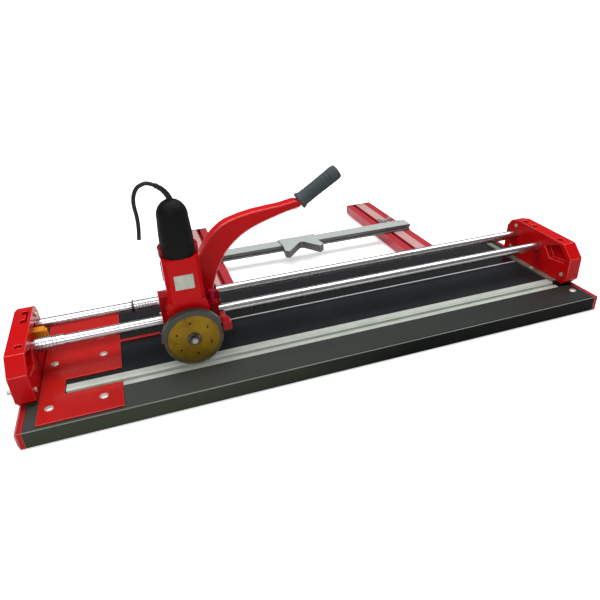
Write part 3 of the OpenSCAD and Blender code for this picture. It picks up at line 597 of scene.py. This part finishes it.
@dataclass
class Workshop:
    """Makes pieces, dresses them and fixes them to the bodies of the frame."""

    palette: Palette
    bodies: dict
    slots: dict

    @classmethod
    def open(cls, palette: Palette) -> "Workshop":
        """Reads the bodies and material slots from the frame.

        Args:
            palette: the finishes.

        Returns:
            The workshop.
        """
        record = frame["record"]
        bodies = {n: b for b, ns in record["behaviour"]["bodies"].items() for n in ns}
        slots = {s["node"]: s["material_slot"] for s in record["subparts"]}
        return cls(palette, bodies, slots)

    def dress_nodes(self, nodes: Iterable[str]) -> None:
        """Gives CAD nodes the finishes of their slots."""
        for node in nodes:
            obj = frame["nodes"][node]
            obj.data.materials.clear()
            obj.data.materials.append(self.palette[self.slots[node]])
            obj.data.shade_smooth()
            obj.data.set_sharp_from_angle(angle=CRISP_NODE)
            LOG.info("%s dressed in %s", node, self.slots[node])

    def soften(self, radii: dict) -> None:
        """Rounds several nodes, each by its own radius in millimetres."""
        for node, radius in radii.items():
            self.softened(node, radius * MM)

    def finish_piece(self, name: str, mesh: bpy.types.Mesh, node: str, *more: str,
                     slot: str = "", sharp: float = 35) -> bpy.types.Object:
        """Turns a mesh into a piece that stands for CAD nodes.

        Args:
            name: the piece's name.
            mesh: its mesh, in place.
            node: the CAD node that it replaces.
            more: further nodes that it replaces.
            slot: the finish, or the node's own when empty.
            sharp: edges sharper than this many degrees stay crisp.

        Returns:
            The piece.
        """
        obj = self.extra_piece(name, mesh, self.bodies[node], slot or self.slots[node], sharp)
        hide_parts(node, *more)
        LOG.info("%s stands for %s", name, ", ".join((node, *more)))
        return obj

    def extra_piece(self, name: str, mesh: bpy.types.Mesh, body: str, slot: str,
                    sharp: float = 35) -> bpy.types.Object:
        """Turns a mesh into a piece that rides on a body without replacing anything."""
        mesh.materials.clear()
        mesh.materials.append(self.palette[slot])
        mesh.shade_smooth()
        if sharp:
            mesh.set_sharp_from_angle(angle=math.radians(sharp))
        obj = bpy.data.objects.new(name, mesh)
        bpy.context.scene.collection.objects.link(obj)
        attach(obj, body)
        return obj

    def softened(self, node: str, radius: float, steps: int = 2,
                 painted_highlight: Optional[Callable[[bmesh.types.BMFace], bool]] = None) -> bpy.types.Object:
        """Copies a CAD node with its sharp edges rounded.

        Args:
            node: the CAD node.
            radius: how far the rounding goes in from an edge.
            steps: segments of the rounding.
            painted_highlight: says which faces of the rounding get a painted highlight; none when left out.

        Returns:
            The piece.
        """
        bm = copied(node)
        rim = bm.faces.layers.float.new(RIM)
        sharp = [e for e in bm.edges
                 if len(e.link_faces) == 2 and e.calc_face_angle(0) > ROUNDED]
        rounds = set(bmesh.ops.bevel(
            bm, geom=sharp, offset=radius, offset_type="OFFSET", segments=steps, profile=0.5,
            affect="EDGES", clamp_overlap=painted_highlight is None, material=-1)["faces"])
        bm.normal_update()
        for face in rounds:
            face[rim] = RIM_PAINTED_HIGHLIGHT if painted_highlight and painted_highlight(face) else RIM_EDGE
        normals = crisp_normals(bm, rounds)
        obj = self.finish_piece(f"{node}_shown", to_mesh(bm, node), node, sharp=0)
        obj.data.normals_split_custom_set(normals)
        return obj


def copied(node: str) -> bmesh.types.BMesh:
    """Merged copy of a CAD node, with its flat faces joined."""
    bm = bmesh.new()
    bm.from_mesh(frame["nodes"][node].data)
    bmesh.ops.remove_doubles(bm, verts=bm.verts, dist=WELD)
    bmesh.ops.dissolve_limit(bm, angle_limit=COPLANAR, verts=bm.verts, edges=bm.edges)
    return bm


def crisp_normals(bm: bmesh.types.BMesh, rounds: set) -> list[Vector]:
    """Corner normals that keep open faces flat and let only the rounded edges turn.

    Args:
        bm: the piece.
        rounds: the faces of its rounded edges.

    Returns:
        One normal for each corner, in order.
    """
    normals = []
    for face in bm.faces:
        for loop in face.loops:
            around = [f for f in loop.vert.link_faces if f not in rounds]
            if face in rounds:
                near = around or list(loop.vert.link_faces)
            else:
                near = [f for f in around if f.normal.dot(face.normal) > SAME_WAY] or [face]
            total = sum((f.normal * f.calc_area() for f in near), Vector())
            normals.append(total.normalized() if total.length > NO_AREA else face.normal.copy())
    return normals


def to_mesh(bm: bmesh.types.BMesh, name: str) -> bpy.types.Mesh:
    """Writes a bmesh to a new mesh and frees it."""
    mesh = bpy.data.meshes.new(name)
    bm.to_mesh(mesh)
    bm.free()
    return mesh


# ---------------------------------------------------------------- studio

@dataclass
class Studio:
    """Floor, lights and camera."""

    eye: Colour = (-0.336789, -1.162600, 0.619053)
    yaw: float = 0.304
    pitch: float = 0.506
    roll: float = -0.049
    lens: float = 31.30
    sensor: float = 36
    nearest: float = 0.01
    farthest: float = 50
    floor_size: float = 30
    ambient: float = 0.2
    backdrop: float = 1.0

    def build(self) -> None:
        """Makes the whole studio."""
        self.camera()
        self.floor()
        self.lights()
        self.world()

    def camera(self) -> None:
        """Sets the camera where the cutter is seen from."""
        ahead = Vector((math.sin(self.yaw) * math.cos(self.pitch),
                        math.cos(self.yaw) * math.cos(self.pitch), -math.sin(self.pitch)))
        level = Vector((math.cos(self.yaw), -math.sin(self.yaw), 0))
        above = level.cross(ahead)
        c, s = math.cos(self.roll), math.sin(self.roll)
        right, up = c * level + s * above, -s * level + c * above
        data = bpy.data.cameras.new("camera")
        data.lens = self.lens
        data.sensor_width = self.sensor
        data.clip_start = self.nearest
        data.clip_end = self.farthest
        cam = bpy.data.objects.new("camera", data)
        bpy.context.scene.collection.objects.link(cam)
        turn = Matrix((right, up, -ahead)).transposed().to_4x4()
        cam.matrix_world = Matrix.Translation(self.eye) @ turn
        bpy.context.scene.camera = cam

    def floor(self) -> None:
        """Lays a plain pale floor."""
        bm = bmesh.new()
        bmesh.ops.create_grid(bm, x_segments=1, y_segments=1, size=self.floor_size)
        mesh = to_mesh(bm, "floor")
        g = Graph("floor_paper")
        tone = g.noise(g.place(), 3, 4)
        glow = g.span(g.length(g.place()), 1.0, 2.6, 0.4, 1.0)
        mesh.materials.append(g.dress(
            Base_Color=g.mix(tone, (0.92, 0.92, 0.92), (0.95, 0.95, 0.95)), Roughness=0.9,
            Specular_IOR_Level=0.1, Emission_Color=(1, 1, 1),
            Emission_Strength=g.out("ShaderNodeLightPath", {}, {}) * glow + 0.08))
        floor = bpy.data.objects.new("floor", mesh)
        bpy.context.scene.collection.objects.link(floor)

    def lights(self) -> None:
        """Hangs one soft box above and one in front."""
        boxes = [
            ("top_box", (0.45, 0.2, 2.4), (0.45, 0.2, 0), 4.4, 2.0, 108),
            ("front_box", (-1.0, -2.2, 1.7), (-0.2, 0, 0.1), 1.2, 1.2, 21),
        ]
        for name, spot, aim, width, depth, power in boxes:
            data = bpy.data.lights.new(name, "AREA")
            data.shape = "RECTANGLE"
            data.size = width
            data.size_y = depth
            data.energy = power
            lamp = bpy.data.objects.new(name, data)
            bpy.context.scene.collection.objects.link(lamp)
            facing = (Vector(spot) - Vector(aim)).to_track_quat("Z", "Y")
            lamp.matrix_world = Matrix.Translation(spot) @ facing.to_matrix().to_4x4()

    def world(self) -> None:
        """Surrounds the scene with white that lights the object only a little."""
        world = bpy.data.worlds.new("studio")
        world.use_nodes = True
        tree = world.node_tree
        shine = tree.nodes["Background"]
        ray = tree.nodes.new("ShaderNodeLightPath")
        level = tree.nodes.new("ShaderNodeMapRange")
        level.inputs[3].default_value = self.ambient
        level.inputs[4].default_value = self.backdrop
        tree.links.new(ray.outputs["Is Camera Ray"], level.inputs[0])
        tree.links.new(level.outputs[0], shine.inputs[1])
        shine.inputs[0].default_value = (1, 1, 1, 1)
        bpy.context.scene.world = world
        bpy.context.scene.view_settings.view_transform = "Standard"


# ---------------------------------------------------------------- assembly

@dataclass
class Cord:
    """Free end of the mains cord, and the sleeve that it leaves the motor through."""

    route: tuple = ((-302, 376), (-316, 381), (-330, 376), (-338, 364), (-341, 348),
                    (-340, 326), (-341, 306), (-344, 286))
    sleeve: tuple = ((-282, 344), (-282, 351), (-286, 360), (-293, 369), (-302, 376))
    depth: float = -276.5
    radius: float = 3.5
    steps: int = 6
    sleeve_radius: float = 5.8
    sleeve_taper: float = 1.3
    sleeve_groove: float = 0.35

    def centreline(self, points: tuple) -> list[Vector]:
        """Smooth line through the given points, in metres."""
        p = [Vector((x, self.depth, z)) * MM for x, z in points]
        line = []
        for i in range(len(p) - 1):
            a, b, c, d = p[max(i - 1, 0)], p[i], p[i + 1], p[min(i + 2, len(p) - 1)]
            for s in range(self.steps):
                u = s / self.steps
                line.append(0.5 * (2 * b + u * (c - a) + u * u * (2 * a - 5 * b + 4 * c - d)
                                   + u ** 3 * (3 * b - a - 3 * c + d)))
        return line + [p[-1]]

    def tube(self, line: list[Vector], radii: list[float], sides: int = 20) -> bmesh.types.BMesh:
        """Closed tube along a line.

        Args:
            line: its centreline.
            radii: one radius for each point.
            sides: faces around it.

        Returns:
            The tube.
        """
        bm = bmesh.new()
        rings = []
        for i, (point, radius) in enumerate(zip(line, radii)):
            ahead = (line[min(i + 1, len(line) - 1)] - line[max(i - 1, 0)]).normalized()
            turn = Matrix((Vector((0, 1, 0)).cross(ahead), Vector((0, 1, 0)), ahead)).transposed()
            ring = bmesh.ops.create_circle(bm, cap_ends=False, radius=radius, segments=sides,
                                           matrix=Matrix.Translation(point) @ turn.to_4x4())
            rings.append(ring["verts"])
        for low, high in zip(rings, rings[1:]):
            edges = [e for e in bm.edges if all(v in low for v in e.verts)
                     or all(v in high for v in e.verts)]
            bmesh.ops.bridge_loops(bm, edges=edges)
        for ring in (rings[0], rings[-1]):
            bmesh.ops.contextual_create(bm, geom=[e for e in bm.edges
                                                  if all(v in ring for v in e.verts)])
        bmesh.ops.recalc_face_normals(bm, faces=bm.faces)
        return bm

    def build(self, shop: Workshop) -> None:
        line = self.centreline(self.route)
        length = sum((b - a).length for a, b in zip(line, line[1:]))
        radii = [self.radius * MM] * len(line)
        cord = shop.finish_piece("mains_cord_shown", to_mesh(self.tube(line, radii), "cord"),
                                 "mains_cord", sharp=40)
        way = self.centreline(self.sleeve)
        widths = []
        for i in range(len(way)):
            share = i / (len(way) - 1)
            groove = self.sleeve_groove if i % 4 < 2 else 0.0
            widths.append((self.sleeve_radius - self.sleeve_taper * share - groove) * MM)
        sleeve = shop.finish_piece("strain_relief_shown",
                                   to_mesh(self.tube(way, widths), "sleeve"), "strain_relief",
                                   slot="cord_pvc", sharp=50)
        LOG.info("cord %.3f m, ends at %s", length, tuple(round(v, 3) for v in line[-1]))


@dataclass
class Table:
    """Aluminium table with its decks, end housings, feet, arms and scales."""

    profile_round: float = 0.8
    housing_round: float = 1.6
    cap_round: float = 1.2
    plate_round: float = 0.6
    arm_round: float = 0.6
    stop_round: float = 1.5
    plain: tuple = ("front_deck", "centre_pad", "rear_deck", "breaking_ridge", "edge_trim",
                    "right_foot_plate", "plate_bolts", "frame_bolts", "rubber_feet",
                    "arm_scales", "arm_end_caps")

    def build(self, shop: Workshop) -> None:
        """Rounds the profile, the housings, the caps, the plate and the arms."""
        shop.soften({"base_table": self.profile_round, "left_housing": self.housing_round,
                     "right_housing": self.housing_round, "left_end_cap": self.cap_round,
                     "right_end_cap": self.cap_round, "left_foot_plate": self.plate_round,
                     "left_arm": self.arm_round, "right_arm": self.arm_round,
                     "bumper": self.stop_round})

    def dress(self, shop: Workshop) -> None:
        """Finishes the parts that are shown as drawn."""
        shop.dress_nodes(self.plain)


@dataclass
class Rails:
    """The two plated rails, their collar and the carriage's bushes on them."""

    plain: tuple = ("front_rail", "rear_rail", "rail_collar", "rear_sleeve", "carriage_bushes")

    def build(self, shop: Workshop) -> None:
        """Finishes the bars, which are shown as drawn."""
        shop.dress_nodes(self.plain)


@dataclass
class Carriage:
    """Sliding carriage with the lever, its grip, the breaking foot and the scoring wheel."""

    body_round: float = 1.2
    lever_round: float = 3.0
    foot_round: float = 1.0
    plain: tuple = ("carriage_pins", "carriage_bolts", "lever_grip", "foot_pads", "foot_pins",
                    "scoring_wheel")

    def build(self, shop: Workshop) -> None:
        """Rounds the casting, the lever and the foot."""
        shop.soften({"carriage_body": self.body_round, "foot_block": self.foot_round})
        # the lever's lower-front rounded edge gets a painted highlight
        shop.softened("lever_arm", self.lever_round * MM, 3,
                      lambda face: face.normal.y < -0.3 and face.normal.z < -0.15)

    def dress(self, shop: Workshop) -> None:
        """Finishes the parts that are shown as drawn."""
        shop.dress_nodes(self.plain)


@dataclass
class Saw:
    """Motor saw on its bracket, with the blade, the guard and the hidden motor parts."""

    gear_round: float = 1.5
    bracket_round: float = 0.8
    plain: tuple = ("motor_housing", "motor_cap", "label_plate", "blade_guard", "stator",
                    "brush_gear", "bearings", "saw_lock_knob", "power_switch", "armature",
                    "motor_fan", "spindle", "blade_core", "blade_rim", "blade_flanges")

    def build(self, shop: Workshop) -> None:
        """Rounds the gear case and the bracket."""
        shop.soften({"gear_case": self.gear_round, "saw_bracket": self.bracket_round})

    def dress(self, shop: Workshop) -> None:
        """Finishes the parts that are shown as drawn."""
        shop.dress_nodes(self.plain)


@dataclass
class Fence:
    """Measuring fence with its clamps, wing knobs and angle stop."""

    bar_round: float = 0.6
    stop_round: float = 0.8
    plain: tuple = ("fence_clamps", "left_wing_knob", "right_wing_knob")

    def build(self, shop: Workshop) -> None:
        """Rounds the bar and the stop."""
        shop.soften({"fence_bar": self.bar_round, "angle_stop": self.stop_round})

    def dress(self, shop: Workshop) -> None:
        """Finishes the parts that are shown as drawn."""
        shop.dress_nodes(self.plain)


def main() -> None:
    """Builds every sub-assembly and dresses it."""
    Studio().build()
    shop = Workshop.open(Palette.mix_all())
    Cord().build(shop)
    Rails().build(shop)
    for part in (Table(), Carriage(), Saw(), Fence()):
        part.build(shop)
        part.dress(shop)
        LOG.info("%s built", type(part).__name__)


if __name__ == "__main__":
    main()
